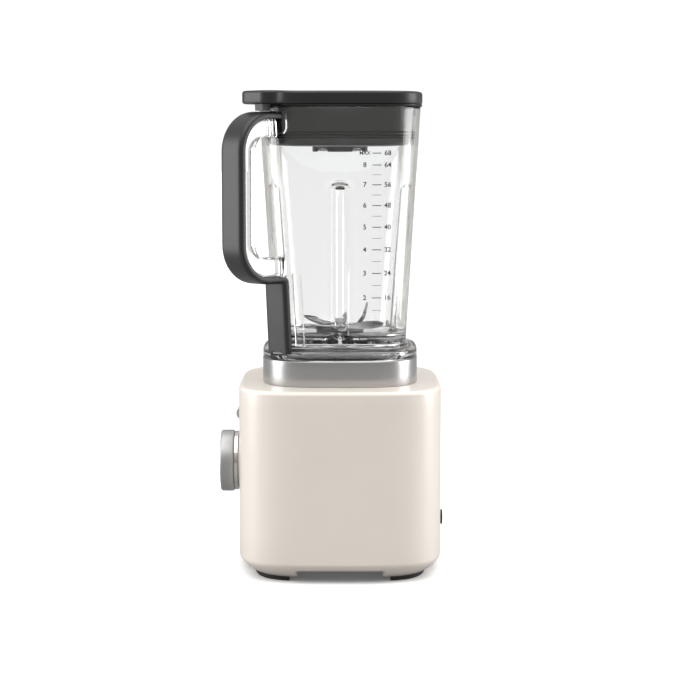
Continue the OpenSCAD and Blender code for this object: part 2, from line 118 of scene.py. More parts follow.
def makeStudio():
    world = bpy.data.worlds.new("studioAir")
    bpy.context.scene.world = world
    world.use_nodes = True
    nodes, links = world.node_tree.nodes, world.node_tree.links
    nodes.clear()
    out = nodes.new("ShaderNodeOutputWorld")
    air = nodes.new("ShaderNodeBackground")
    spot = nodes.new("ShaderNodeTexCoord")
    axes = nodes.new("ShaderNodeSeparateXYZ")
    links.new(spot.outputs["Generated"], axes.inputs[0])
    height = rampUp(nodes, links, axes.outputs["Z"], 0, 1)
    colour = mixColour(nodes, links, height, studio["horizon"], studio["overhead"])
    away = nodes.new("ShaderNodeMath")
    away.operation = "MULTIPLY"
    links.new(rampUp(nodes, links, axes.outputs["Y"], 0.88, 0.97), away.inputs[0])
    path = nodes.new("ShaderNodeLightPath")
    links.new(path.outputs["Is Transmission Ray"], away.inputs[1])
    colour = mixColour(nodes, links, away.outputs[0], colour, studio["behind"])
    colour = mixColour(nodes, links, path.outputs["Is Camera Ray"], colour, (1.05, 1.05, 1.05))
    links.new(colour, air.inputs["Color"])
    links.new(air.outputs[0], out.inputs[0])

    sun = bpy.data.lights.new("topSun", "SUN")
    sun.energy = studio["topSun"]
    sun.angle = radians(75)
    lamp = bpy.data.objects.new("topSun", sun)
    lamp.rotation_euler = (radians(studio["sunTilt"]), 0, 0)
    bpy.context.collection.objects.link(lamp)

    for place, power in studio["boxes"]:
        box = bpy.data.lights.new("sideBox", "AREA")
        box.shape = "RECTANGLE"
        box.size, box.size_y = studio["boxSize"]
        box.energy = power
        lamp = bpy.data.objects.new("sideBox", box)
        lamp.location = place
        aim = Vector((0, 0, 0.2)) - lamp.location
        lamp.rotation_euler = aim.to_track_quat("-Z", "Y").to_euler()
        bpy.context.collection.objects.link(lamp)

    bm = bmesh.new()
    bmesh.ops.create_grid(bm, x_segments=1, y_segments=1, size=30)
    mesh = bpy.data.meshes.new("floor")
    bm.to_mesh(mesh)
    bm.free()
    floor = bpy.data.objects.new("floor", mesh)
    bpy.context.collection.objects.link(floor)
    mesh.materials.append(plainFloor())


def plainFloor():
    mat, nodes, links, shader = newFinish("plainFloor")
    spot = nodes.new("ShaderNodeTexCoord")
    axes = nodes.new("ShaderNodeSeparateXYZ")
    links.new(spot.outputs["Object"], axes.inputs[0])
    wide = nodes.new("ShaderNodeMath")
    wide.operation = "ABSOLUTE"
    links.new(axes.outputs["X"], wide.inputs[0])
    off = nodes.new("ShaderNodeMath")
    off.operation = "MULTIPLY_ADD"  # |x| - 0.12 y, so the white strip widens away from the camera
    links.new(axes.outputs["Y"], off.inputs[0])
    off.inputs[1].default_value = -0.12
    links.new(wide.outputs[0], off.inputs[2])
    through = mixColour(nodes, links, rampUp(nodes, links, off.outputs[0], 0.22, 0.5),
                        (studio["floorThrough"],) * 3, studio["floorAside"])
    path = nodes.new("ShaderNodeLightPath")
    bounced = (studio["floorBounce"],) * 3
    colour = mixColour(nodes, links, path.outputs["Is Transmission Ray"], bounced, through)
    colour = mixColour(nodes, links, path.outputs["Is Camera Ray"], colour, (studio["floorSeen"],) * 3)
    links.new(colour, shader.inputs["Base Color"])
    # the floor glows a little: painted light that lifts the shadow under the base
    shader.inputs["Emission Color"].default_value = (1, 1, 1, 1)
    shader.inputs["Emission Strength"].default_value = studio["floorGlow"]
    shader.inputs["Roughness"].default_value = 0.6
    shader.inputs["Specular IOR Level"].default_value = 0.1
    return mat


# ---- finishes
def newFinish(name):
    mat = bpy.data.materials.new(name)
    mat.use_nodes = True
    nodes, links = mat.node_tree.nodes, mat.node_tree.links
    return mat, nodes, links, nodes["Principled BSDF"]


def objectSpace(nodes, links, stretch):  # the piece's own coordinates, stretched to lay a grain
    spot = nodes.new("ShaderNodeTexCoord")
    turn = nodes.new("ShaderNodeMapping")
    turn.inputs["Scale"].default_value = stretch
    links.new(spot.outputs["Object"], turn.inputs["Vector"])
    return turn.outputs["Vector"]


def noiseOn(nodes, links, stretch, size, detail=3):
    noise = nodes.new("ShaderNodeTexNoise")
    noise.inputs["Scale"].default_value = size
    noise.inputs["Detail"].default_value = detail
    links.new(objectSpace(nodes, links, stretch), noise.inputs["Vector"])
    return noise.outputs["Fac"]


def spread(nodes, links, value, low, high):  # maps 0.3 - 0.7 of a noise to low - high
    reach = nodes.new("ShaderNodeMapRange")
    reach.inputs["From Min"].default_value = 0.3
    reach.inputs["From Max"].default_value = 0.7
    reach.inputs["To Min"].default_value = low
    reach.inputs["To Max"].default_value = high
    links.new(value, reach.inputs["Value"])
    return reach.outputs["Result"]


def bumpFrom(nodes, links, shader, value, strength, depth):
    bump = nodes.new("ShaderNodeBump")
    bump.inputs["Strength"].default_value = strength
    bump.inputs["Distance"].default_value = depth
    links.new(value, bump.inputs["Height"])
    links.new(bump.outputs["Normal"], shader.inputs["Normal"])


def tint(nodes, links, shader, value, dark, light):
    ramp = nodes.new("ShaderNodeValToRGB")
    ramp.color_ramp.elements[0].position = 0.3
    ramp.color_ramp.elements[1].position = 0.7
    ramp.color_ramp.elements[0].color = (*dark, 1)
    ramp.color_ramp.elements[1].color = (*light, 1)
    links.new(value, ramp.inputs["Fac"])
    links.new(ramp.outputs["Color"], shader.inputs["Base Color"])


# One row per finish: dark and light colour, metal, roughness low and high,
# grain stretch, grain size, bump strength and depth
finishes = {
    "creamPaint": ((0.80, 0.735, 0.665), (0.82, 0.755, 0.685), 0,
        (0.3, 0.34), (1, 1, 1), 900, 0.05, 0.00002),
    "satinMetal": ((0.43, 0.43, 0.43), (0.45, 0.45, 0.45), 1,
        (0.30, 0.34), (1, 1, 40), 160, 0.015, 0.00001),
    "dialMetal": ((0.40, 0.40, 0.40), (0.42, 0.42, 0.42), 1,
        (0.44, 0.50), (40, 1, 1), 160, 0.02, 0.00001),
    "chromeSkirt": ((0.60, 0.60, 0.60), (0.64, 0.64, 0.64), 1,
        (0.10, 0.16), (8, 1, 1), 60, 0.02, 0.00001),
    "polishedSteel": ((0.55, 0.55, 0.55), (0.60, 0.60, 0.60), 1,
        (0.12, 0.20), (1, 1, 6), 300, 0.03, 0.00001),
    "bladeSteel": ((0.16, 0.16, 0.16), (0.86, 0.86, 0.86), 1,
        (0.08, 0.16), (18, 1, 1), 140, 0.03, 0.00001),
    "blackGrip": ((0.012, 0.012, 0.013), (0.016, 0.016, 0.017), 0,
        (0.36, 0.44), (1, 1, 1), 1500, 0.06, 0.00002),
    "blackLid": ((0.010, 0.010, 0.011), (0.014, 0.014, 0.015), 0,
        (0.34, 0.42), (1, 1, 1), 1300, 0.05, 0.00002),
    "blackPlug": ((0.010, 0.010, 0.011), (0.013, 0.013, 0.014), 0,
        (0.36, 0.39), (1, 1, 1), 420, 0.01, 0.00001),
    "blackRubber": ((0.012, 0.012, 0.012), (0.020, 0.020, 0.020), 0,
        (0.62, 0.80), (1, 1, 1), 1400, 0.20, 0.00006),
    "sealRubber": ((0.004, 0.004, 0.004), (0.007, 0.007, 0.007), 0,
        (0.55, 0.70), (1, 1, 1), 900, 0.10, 0.00004),
    "greyMoulding": ((0.050, 0.050, 0.052), (0.070, 0.070, 0.072), 0,
        (0.50, 0.62), (1, 1, 1), 1200, 0.16, 0.00005),
    "castAluminium": ((0.48, 0.48, 0.49), (0.60, 0.60, 0.61), 1,
        (0.38, 0.55), (1, 1, 1), 420, 0.25, 0.00010),
    "lamination": ((0.10, 0.11, 0.13), (0.17, 0.18, 0.20), 1,
        (0.40, 0.60), (1, 1, 90), 30, 0.30, 0.00010),
    "windingCopper": ((0.42, 0.14, 0.06), (0.66, 0.28, 0.13), 1,
        (0.24, 0.40), (1, 1, 40), 40, 0.40, 0.00025),
    "stampedBrass": ((0.55, 0.40, 0.16), (0.70, 0.53, 0.25), 1,
        (0.25, 0.40), (1, 1, 1), 500, 0.10, 0.00004),
    "boardGreen": ((0.010, 0.075, 0.028), (0.020, 0.120, 0.045), 0,
        (0.22, 0.36), (1, 1, 1), 260, 0.15, 0.00006),
    "printInk": ((0.050, 0.050, 0.052), (0.065, 0.065, 0.067), 0,
        (0.45, 0.55), (1, 1, 1), 2000, 0.05, 0.00001),
}
made = {}


def finish(name):
    if name in made:
        return made[name]
    dark, light, metal, rough, stretch, size, strength, depth = finishes[name]
    mat, nodes, links, shader = newFinish(name)
    grain = noiseOn(nodes, links, stretch, size)
    cloud = noiseOn(nodes, links, (1, 1, 1), 22, 2)  # slow unevenness over the whole piece
    tint(nodes, links, shader, cloud, dark, light)
    links.new(spread(nodes, links, grain, *rough), shader.inputs["Roughness"])
    shader.inputs["Metallic"].default_value = metal
    if name == "creamPaint":
        shader.inputs["Coat Weight"].default_value = 0.45
        shader.inputs["Coat Roughness"].default_value = 0.26
    if name in ("sealRubber", "printInk"):
        shader.inputs["Specular IOR Level"].default_value = 0.12
    bumpFrom(nodes, links, shader, grain, strength, depth)
    made[name] = mat
    return mat


def clearPlastic(name, colour, rough, clear=1):
    if name in made:
        return made[name]
    mat, nodes, links, shader = newFinish(name)
    wave = noiseOn(nodes, links, (1, 1, 0.35), 35, 1)
    links.new(spread(nodes, links, wave, rough * 0.3, rough), shader.inputs["Roughness"])
    shader.inputs["Base Color"].default_value = (*colour, 1)
    shader.inputs["Transmission Weight"].default_value = clear
    shader.inputs["IOR"].default_value = 1.49
    bumpFrom(nodes, links, shader, wave, 0.01, 0.00005)
    made[name] = mat
    return mat


makeStudio()
print("studio lit")


# ---- modelling helpers; sizes in the dictionaries below are in mm
def reachAt(a, halfX, halfY, square):  # how far out a rounded square stands; squareness 2 is an ellipse
    return (abs(cos(a) / halfX) ** square + abs(sin(a) / halfY) ** square) ** (-1 / square)


def roundSquare(halfX, halfY, square, count):
    points = []
    for i in range(count):
        a = 2 * pi * i / count
        r = reachAt(a, halfX, halfY, square)
        points.append(Vector((r * cos(a), r * sin(a), 0)))
    return points


def circleRing(radius, count, z=0):  # in mm
    turns = [2 * pi * i / count for i in range(count)]
    return [Vector((radius * cos(a), radius * sin(a), z)) * mm for a in turns]


def atHeight(points, z):
    return [Vector((p.x, p.y, z)) for p in points]


def blendRings(ringA, ringB, t):
    return [a.lerp(b, t) for a, b in zip(ringA, ringB)]


def startRing(bm, points):
    ring = bmesh.ops.create_circle(bm, cap_ends=False, segments=len(points), radius=1)["verts"]
    for v, p in zip(ring, points):
        v.co = p
    return ring


def ringEdges(bm, ring):
    return [bm.edges.get((ring[i - 1], ring[i])) for i in range(len(ring))]


def growRing(bm, ring, points):  # pulls the open edge on to the next outline
    fresh = bmesh.ops.extrude_edge_only(bm, edges=ringEdges(bm, ring))["geom"]
    place = {v: i for i, v in enumerate(ring)}
    grown = [None] * len(ring)
    for v in (g for g in fresh if isinstance(g, bmesh.types.BMVert)):
        for e in v.link_edges:
            if e.other_vert(v) in place:
                grown[place[e.other_vert(v)]] = v
    for v, p in zip(grown, points):
        v.co = p
    return grown


def loft(bm, rings, ends="open"):  # ends: open, capped, or joined round to the first ring
    first = ring = startRing(bm, rings[0])
    for points in rings[1:]:
        ring = growRing(bm, ring, points)
    if ends == "joined":
        growRing(bm, ring, rings[0])
        bmesh.ops.remove_doubles(bm, verts=bm.verts, dist=1e-7)
    if ends == "capped":
        for loop in (first, ring):
            bmesh.ops.edgeloop_fill(bm, edges=ringEdges(bm, loop))


def lathe(bm, profile, centre, axis, steps=96):  # profile: (along the axis, radius) in mm
    axis = Vector(axis)
    side = axis.orthogonal().normalized()
    centre = Vector(centre)
    verts = [bm.verts.new(centre + axis * a * mm + side * r * mm) for a, r in profile]
    edges = [bm.edges.new(pair) for pair in zip(verts, verts[1:])]
    bmesh.ops.spin(bm, geom=verts + edges, cent=centre, axis=axis, angle=2 * pi, steps=steps, use_merge=True)
    bmesh.ops.remove_doubles(bm, verts=bm.verts, dist=1e-6)


def arc(centreA, centreB, radius, start, end, steps):
    return [(centreA + radius * cos(radians(start + (end - start) * i / steps)),
             centreB + radius * sin(radians(start + (end - start) * i / steps))) for i in range(steps + 1)]


def finishPiece(bm, name, material, body, nodes, sharp=32):
    bmesh.ops.recalc_face_normals(bm, faces=bm.faces)
    mesh = bpy.data.meshes.new(name)
    bm.to_mesh(mesh)
    bm.free()
    for face in mesh.polygons:
        face.use_smooth = True
    mesh.set_sharp_from_angle(angle=radians(sharp))
    mesh.materials.append(material)
    piece = bpy.data.objects.new(name, mesh)
    bpy.context.collection.objects.link(piece)
    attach(piece, body)
    if nodes:
        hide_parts(*nodes)
    return piece


# ---- base housing
housing = {
    "halfX": 88.5,
    "square": 4.4,
    "points": 320,
    "wall": 3,
    "deckEdge": 3.6,      # radius of the top edge
    "footInset": 13,      # how far the foot draws in
    "bevelHeight": 13.3,
    "bevelTop": 18,
    "bevelSteps": 8,
    "padHeight": 3.7,
    "archHalf": 39.5,
    "archSlope": 3.5,     # length of the slope at each end of an arch
    "archTop": 10.7,
    "deckHole": 26,
}


def easeStep(t):
    t = min(1, max(0, t))
    return t * t * (3 - 2 * t)


def archLift(x, y):  # how high the bottom edge stands over the table here
    reach = min(abs(x), abs(y)) / mm
    lift = 1 - easeStep((reach - housing["archHalf"]) / housing["archSlope"])
    return housing["padHeight"] + (housing["archTop"] - housing["padHeight"]) * lift


def bevelInset(z):  # how far the side has drawn in at height z
    t = (z - housing["padHeight"]) / housing["bevelHeight"]
    return housing["footInset"] * max(0, 1 - t) ** 1.6


def makeHousing():
    h = housing
    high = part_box("base_housing")[1]
    halfY, top = high[1] / mm, high[2] / mm

    def outline(inset, z=0):
        ring = roundSquare((h["halfX"] - inset) * mm, (halfY - inset) * mm, h["square"], h["points"])
        return atHeight(ring, z * mm)

    def footRing(raised, inward=0, lifted=0, along=0):  # follows the arches, from bottom edge to bevel's top
        ring = []
        for i, lift in enumerate(lifts):
            a = 2 * pi * i / h["points"]
            z = lift + (h["bevelTop"] - lift) * raised + along
            inset = bevelInset(z) + inward
            r = reachAt(a, (h["halfX"] - inset) * mm, (halfY - inset) * mm, h["square"])
            ring.append(Vector((r * cos(a), r * sin(a), (z + lifted) * mm)))
        return ring

    wall, edge = h["wall"], h["deckEdge"]
    lifts = [archLift(p.x, p.y) for p in outline(0)]
    body = [footRing(0, wall, 1.2), footRing(0, 2.6), footRing(0, 0.7), footRing(0, -0.05, 0.45)]
    body += [footRing(step / h["bevelSteps"]) for step in range(1, h["bevelSteps"] + 1)]
    body += [outline(0, z) for z in (40, 70, 100, 130, 150)]
    body += [outline(-inset, z) for inset, z in arc(-edge, top - edge, edge, 0, 90, 8)]
    hole = circleRing(h["deckHole"], h["points"])
    body += [atHeight(blendRings(outline(edge), hole, t), top * mm) for t in (0.05, 0.3, 0.6)]
    body += [atHeight(hole, top * mm), atHeight(hole, (top - wall) * mm)]
    body.append(atHeight(blendRings(outline(8), hole, 0.3), (top - wall) * mm))
    body += [outline(6, top - wall), outline(wall, top - 2 * wall), outline(wall, 20)]
    body.append(footRing(0, wall, 0, 2 * wall))
    bm = bmesh.new()
    loft(bm, body, "joined")
    skirtLow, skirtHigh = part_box("dial_skirt")
    lathe(bm, [(0, 3.4), (0, 24.6), (-0.6, 25), (-3, 25.6), (-4.5, 27), (-4.5, 3.4), (0, 3.4)],
          (skirtHigh[0] + 0.4 * mm, 0, (skirtLow[2] + skirtHigh[2]) / 2), (-1, 0, 0))
    finishPiece(bm, "housingShell", finish("creamPaint"), "base", ["base_housing"], 40)


makeHousing()


footPads = {"corner": 43.2, "points": 28, "round": 1.1}


def makeFootPads():
    for number in range(1, 5):
        low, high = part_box(f"foot_pad_{number}")
        middle = (Vector(low) + Vector(high)) / 2
        turnX, turnY = (1 if middle.x > 0 else -1), (1 if middle.y > 0 else -1)
        halfX = housing["halfX"] - housing["footInset"] - 0.4
        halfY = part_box("base_housing")[1][1] / mm - housing["footInset"] - 0.4
        inner = footPads["corner"]
        first, last = atan2(inner, halfX), pi / 2 - atan2(inner, halfY)
        bm = bmesh.new()
        rim = []
        for i in range(footPads["points"] + 1):
            a = first + (last - first) * i / footPads["points"]
            r = reachAt(a, halfX, halfY, housing["square"])
            rim.append((max(inner + 0.01, r * cos(a)), max(inner + 0.01, r * sin(a))))
        rim.append((inner, inner))
        verts = [bm.verts.new((x * turnX * mm, y * turnY * mm, high[2])) for x, y in rim]
        face = bmesh.ops.contextual_create(bm, geom=verts)["faces"]
        down = bmesh.ops.extrude_face_region(bm, geom=face)["geom"]
        moved = [g for g in down if isinstance(g, bmesh.types.BMVert)]
        bmesh.ops.translate(bm, verts=moved, vec=(0, 0, -(high[2] - low[2])))
        lowEdges = [e for e in bm.edges if all(abs(v.co.z - low[2]) < 1e-6 for v in e.verts)]
        bmesh.ops.bevel(bm, geom=lowEdges, offset=footPads["round"] * mm, segments=3, profile=0.5,
                        affect="EDGES", material=-1)
        finishPiece(bm, f"footPad{number}", finish("blackRubber"), "base", [f"foot_pad_{number}"])


makeFootPads()
print("base shell and feet done")


# ---- metal ring and the pad under the jar
pedestal = {
    "square": 3.2, "points": 256,
    "wall": 2.2, "topEdge": 1.0, "lowEdge": 0.8,
    "padHole": 22, "padRibs": 5,
}


def makePedestal():
    low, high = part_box("pedestal_ring")
    half, z0, z1 = high[0] / mm, low[2] / mm, high[2] / mm
    top, bottom, wall = pedestal["topEdge"], pedestal["lowEdge"], pedestal["wall"]

    def ring(outset, z):
        return atHeight(roundSquare((half + outset) * mm, (half + outset) * mm, pedestal["square"],
                                    pedestal["points"]), z * mm)

    rings = [ring(-bottom, z0), ring(-bottom * 0.3, z0 + bottom * 0.3), ring(0, z0 + bottom)]
    rings += [ring(0, z0 + 8), ring(0, z1 - 6)]
    rings += [ring(a, b) for a, b in arc(-top, z1 - top, top, 0, 90, 5)]
    rings += [ring(-wall + 0.4, z1), ring(-wall, z1 - 0.4), ring(-wall, z0)]
    bm = bmesh.new()
    loft(bm, rings, "joined")
    finishPiece(bm, "pedestalRing", finish("satinMetal"), "base", ["pedestal_ring"], 40)

    low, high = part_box("jar_pad")
    half, z0, z1 = high[0] / mm, low[2] / mm, low[2] / mm + 3.2
    hole = circleRing(pedestal["padHole"], pedestal["points"])

    def padRing(inset, z, t=0.0):
        outer = roundSquare((half - inset) * mm, (half - inset) * mm, pedestal["square"], pedestal["points"])
        return atHeight(blendRings(outer, hole, t), z * mm)

    rings = [padRing(0, z0), padRing(0, z1 - 1), padRing(0.6, z1 - 0.2), padRing(1.2, z1), padRing(4, z1)]
    top = high[2] / mm
    rings += [padRing(2.7, z1, 0.02), padRing(2.7, top - 0.8, 0.02)]
    rings += [padRing(3.2, top, 0.03), padRing(3.2, top, 0.1)]
    for rib in range(pedestal["padRibs"]):  # low ribs on the raised middle
        t = 0.12 + 0.11 * rib
        rings += [padRing(4, top - 1, t), padRing(4, top - 1, t + 0.03)]
        rings += [padRing(4, top, t + 0.04), padRing(4, top, t + 0.09)]
    rings += [padRing(4, z1, 0.72), padRing(0, z1, 1), padRing(0, z0, 1)]
    bm = bmesh.new()
    loft(bm, rings, "joined")
    finishPiece(bm, "jarPad", finish("blackRubber"), "base", ["jar_pad"])


makePedestal()


# ---- dial and toggle
dial = {"front": 1.8, "steps": 160, "pointer": (0.5, 1.4, 10), "pointerOut": 16}


def makeDial():
    low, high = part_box("dial_knob")
    z = (low[2] + high[2]) / 2
    r, long = (high[2] - low[2]) / 2 / mm, (high[0] - low[0]) / mm
    edge = dial["front"]
    bm = bmesh.new()
    profile = [(0, 3.2), (0, r - 0.8), (0.5, r - 0.2), (1.0, r)]
    profile += arc(long - edge, r - edge, edge, 90, 0, 6)
    profile += [(long, r - 3.2), (long - 0.4, r - 3.5), (long - 1.4, r - 3.5), (long - 1.4, 3.2), (0, 3.2)]
    lathe(bm, profile, (high[0], 0, z), (-1, 0, 0), dial["steps"])
    finishPiece(bm, "dialKnob", finish("dialMetal"), "dial", ["dial_knob"])

    low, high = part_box("dial_face")
    face, long = (high[2] - low[2]) / 2 / mm, (high[0] - low[0]) / mm
    bm = bmesh.new()
    profile = [(0, 0), (0, face - 0.3), (0.2, face), (long - 0.4, face), (long, face - 0.5),
               (long - 0.25, face - 4), (long - 0.5, 0)]
    lathe(bm, profile, (high[0], 0, z), (-1, 0, 0), dial["steps"])
    finishPiece(bm, "dialFace", finish("dialMetal"), "dial", ["dial_face"])
    bm = bmesh.new()  # pointer line, let into the face
    block = bmesh.ops.create_cube(bm, size=1)["verts"]
    bmesh.ops.scale(bm, verts=block, vec=Vector(dial["pointer"]) * mm)
    bmesh.ops.translate(bm, verts=block, vec=(low[0] + 0.15 * mm, 0, z + dial["pointerOut"] * mm))
    bmesh.ops.bevel(bm, geom=list(bm.edges), offset=0.2 * mm, segments=2, profile=0.5, affect="EDGES",
                    material=-1)
    finishPiece(bm, "dialPointer", finish("blackRubber"), "dial", [])

    low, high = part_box("dial_skirt")
    r, long = (high[2] - low[2]) / 2 / mm, (high[0] - low[0]) / mm
    bm = bmesh.new()
    lathe(bm, [(0, 3.2), (0, r - 0.5), (0.3, r), (long - 0.8, r), (long, r - 0.7), (long, 3.2), (0, 3.2)],
          (high[0], 0, z), (-1, 0, 0), dial["steps"])
    finishPiece(bm, "dialSkirt", finish("chromeSkirt"), "dial", ["dial_skirt"])


makeDial()


toggle = {
    "arcRadius": 6.6, "thick": 1.9, "start": 95, "end": 245, "steps": 24,
    "bead": 1.5, "forward": 4.3, "below": 2.0,
}


def makeToggle():
    low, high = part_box("toggle_lever")
    joints = {joint["name"]: joint for joint in frame["record"]["behaviour"]["joints"]}
    pin = Vector(joints["toggle_flip"]["pos_m"])
    half = (high[1] - low[1]) / 2 / mm
    centre = pin - Vector((toggle["forward"], 0, toggle["below"])) * mm
    rings = []
    for i in range(toggle["steps"] + 1):
        a = radians(toggle["start"] + (toggle["end"] - toggle["start"]) * i / toggle["steps"])
        out = Vector((cos(a), 0, sin(a)))
        w = half - 1.2 * abs(2 * i / toggle["steps"] - 1) ** 4
        t = toggle["thick"] / 2
        section = [(t, -w + 0.5), (t * 0.6, -w), (-t * 0.6, -w), (-t, -w + 0.5),
                   (-t, w - 0.5), (-t * 0.6, w), (t * 0.6, w), (t, w - 0.5)]
        spot = [(centre + out * (toggle["arcRadius"] + u) * mm, v * mm) for u, v in section]
        rings.append([p + Vector((0, side, 0)) for p, side in spot])
    bm = bmesh.new()
    loft(bm, rings, "capped")
    a = radians(toggle["end"])
    tip = centre + Vector((cos(a), 0, sin(a))) * toggle["arcRadius"] * mm
    bead = toggle["bead"]
    lathe(bm, [(0, 0), (0, bead - 0.4), (0.4, bead), (2 * half - 1.6, bead), (2 * half - 1.2, bead - 0.4),
               (2 * half - 1.2, 0)], tip - Vector((0, (half - 0.6) * mm, 0)), (0, 1, 0), 24)
    lathe(bm, [(0, 1.56), (0, 3.4), (2 * half, 3.4), (2 * half, 1.56), (0, 1.56)],
          pin - Vector((0, half * mm, 0)), (0, 1, 0), 32)
    finishPiece(bm, "toggleLever", finish("polishedSteel"), "toggle", ["toggle_lever"])


makeToggle()
print("pedestal, dial and toggle done")


# ---- jar
jar = {
    "square": 4.2,
    "footSquare": 3.2,
    "points": 288,
    "rimHalf": 70, "waistHalf": 58.4,
    "rimZ": 404, "floorZ": 206, "footZ": 187.6,
    "wall": 3.0,
    "innerSquare": 3.6,
    "fluteDepth": 7.6, "fluteHalf": 12, "fluteTop": 341, "fluteEnd": 6.5,
    "innerFlute": 0.86,   # the flutes are shallower inside, so the wall acts as a lens there
    "floorCorner": 6, "floorThick": 5, "floorRibs": 24, "ribTall": 1.2,
    "bore": 17.5,
}


def jarHalf(z):
    widening = (jar["rimHalf"] - jar["waistHalf"]) / (jar["rimZ"] - jar["floorZ"])
    return jar["waistHalf"] + widening * (z - jar["floorZ"])


def fluteAt(a, half, z):  # 1 on a flute's centre line, 0 outside it
    off = (a + pi / 4) % (pi / 2) - pi / 4
    across = half * sin(off) / jar["fluteHalf"]
    above = max(0, z - (jar["fluteTop"] - jar["fluteEnd"])) / jar["fluteEnd"]
    below = max(0, jar["floorZ"] + 5 - z) / 7
    far = sqrt(across ** 2 + above ** 2 + below ** 2)
    return 0.5 + 0.5 * cos(pi * far) if far < 1 else 0


def jarRing(half, z, square=None, flutes=1.0, surfaceZ=None):
    square = square or jar["square"]
    ring = []
    for i in range(jar["points"]):
        a = 2 * pi * i / jar["points"]
        r = reachAt(a, half, half, square)
        dip = fluteAt(a, half, surfaceZ or z) * jar["fluteDepth"] * flutes
        ring.append(Vector((r * cos(a) - dip * cos(a), r * sin(a) - dip * sin(a), z)) * mm)
    return ring


def clearJar():
    return clearPlastic("clearJar", (0.985, 0.99, 0.99), 0.005)


def makeJar():
    foot, floor, rim = jar["footZ"], jar["floorZ"], jar["rimZ"]
    edge = [(67.4, foot), (68, foot + 0.7), (68, foot + 5.5)] + arc(65.4, foot + 5.9, 2.6, 0, 90, 6)
    rings = [jarRing(half, z, jar["footSquare"], 0) for half, z in edge]
    rings += [jarRing(62.5, foot + 8.7, 3.4, 0), jarRing(60.2, foot + 9.8, 3.7, 0),
              jarRing(58.6, foot + 12, 4.0, 0), jarRing(58.2, floor - 4, jar["square"], 0)]
    heights = [floor - 3 + 1.1 * i for i in range(11)]
    heights += [floor + 12 + (jar["fluteTop"] - jar["fluteEnd"] - floor - 14) * i / 12 for i in range(13)]
    heights += [jar["fluteTop"] - jar["fluteEnd"] - 1 + 0.6 * i for i in range(18)]
    heights += [350, 365, 380, 395, 402]
    rings += [jarRing(jarHalf(z), z) for z in heights]
    rings += [jarRing(jarHalf(rim) - 0.1, rim - 0.7), jarRing(jarHalf(rim) - 0.9, rim),
              jarRing(jarHalf(rim) - 2.1, rim), jarRing(jarHalf(rim) - 3, rim - 0.8)]
    inSquare, inFlute, wall = jar["innerSquare"], jar["innerFlute"], jar["wall"]
    for z in reversed([h for h in heights if h > floor + 6]):
        mouth = min(1, max(0, (z - 215) / 165))  # the mouth keeps the outer shape, for the lid's seals
        square = inSquare + (jar["square"] - inSquare) * mouth
        rings.append(jarRing(jarHalf(z) - wall, z, square, inFlute, z + 2.2))
    corner = jar["floorCorner"]
    inner = jarHalf(floor + corner) - wall
    for a in range(0, 91, 15):  # round where the wall meets the floor
        half, z = inner - corner * (1 - cos(radians(a))), floor + corner * (1 - sin(radians(a)))
        rings.append(jarRing(half, z, inSquare, inFlute, floor + 8))
    circle = circleRing(jar["bore"], jar["points"])
    last, onFloor = rings[-1], atHeight(circle, floor * mm)
    rings += [atHeight(blendRings(last, onFloor, t), floor * mm) for t in (0.35, 0.7)]
    below = floor - jar["floorThick"]
    hole, under = atHeight(circle, below * mm), jarRing(53.5, below, None, 0)
    rings += [onFloor, hole]
    for t, tall in ((0.08, 0), (0.14, 1), (0.5, 1), (0.86, 1), (0.93, 0)):  # ribs moulded under the floor
        ribbed = blendRings(hole, under, t)
        for i, p in enumerate(ribbed):
            p.z += jar["ribTall"] * mm * tall * (1 + cos(2 * pi * i / jar["points"] * jar["floorRibs"]))
        rings.append(ribbed)
    rings += [under, jarRing(57.5, floor - 8.5, 3.9, 0)]
    rings += [jarRing(half, foot + up, jar["footSquare"], 0)
              for half, up in ((63, 5.6), (64.6, 3.2), (65, 0.6), (65.5, 0))]
    bm = bmesh.new()
    loft(bm, rings, "joined")
    finishPiece(bm, "jarShell", clearJar(), "jar", ["jar_body"], 50)


makeJar()
print("jar done")


# ---- handle
handle = {
    "reach": 129, "top": 399.5, "low": 254, "bend": 34,
    "thick": 6, "width": 26, "crown": 5.5,
    "armStart": 86, "coreThick": 16, "coreWidth": 16, "coreEdge": 3,
    "stemReach": 80, "stemLow": 193, "stemLean": 3.2, "stemBend": 0.5,
    "bendSteps": 16,
}


def overCorner(out, across, z):  # distance towards the handle's corner, sideways, and height, in mm
    s = 1 / sqrt(2)
    return Vector(((-out + across) * s, (-out - across) * s, z)) * mm


def cornerSurface(z, across):  # how far out the jar's corner stands, this far to the side of its middle
    half, n = max(jarHalf(z), 58.2), jar["square"]
    out = 70
    for _ in range(6):
        a = radians(45) + atan2(across, out)
        out = reachAt(a, half, half, n) * cos(atan2(across, out))
    return out


def stripSection(thick, width, crown, inner=0.8, steps=7):  # flat inside, softly crowned outside
    section = []
    for i in range(steps + 1):
        a = radians(90 * i / steps)
        u = thick / 2 - (thick - 1.6) * (1 - cos(a) ** 0.8) * 0.75
        section.append((u, width / 2 - crown * (1 - sin(a) ** 0.8)))
    section += arc(-thick / 2 + inner, width / 2 - inner, inner, 90, 180, 2)
    return section + [(u, -v) for u, v in reversed(section)]


def stemLean(z):
    return handle["stemLean"] * (handle["low"] - z) / (handle["low"] - 198)


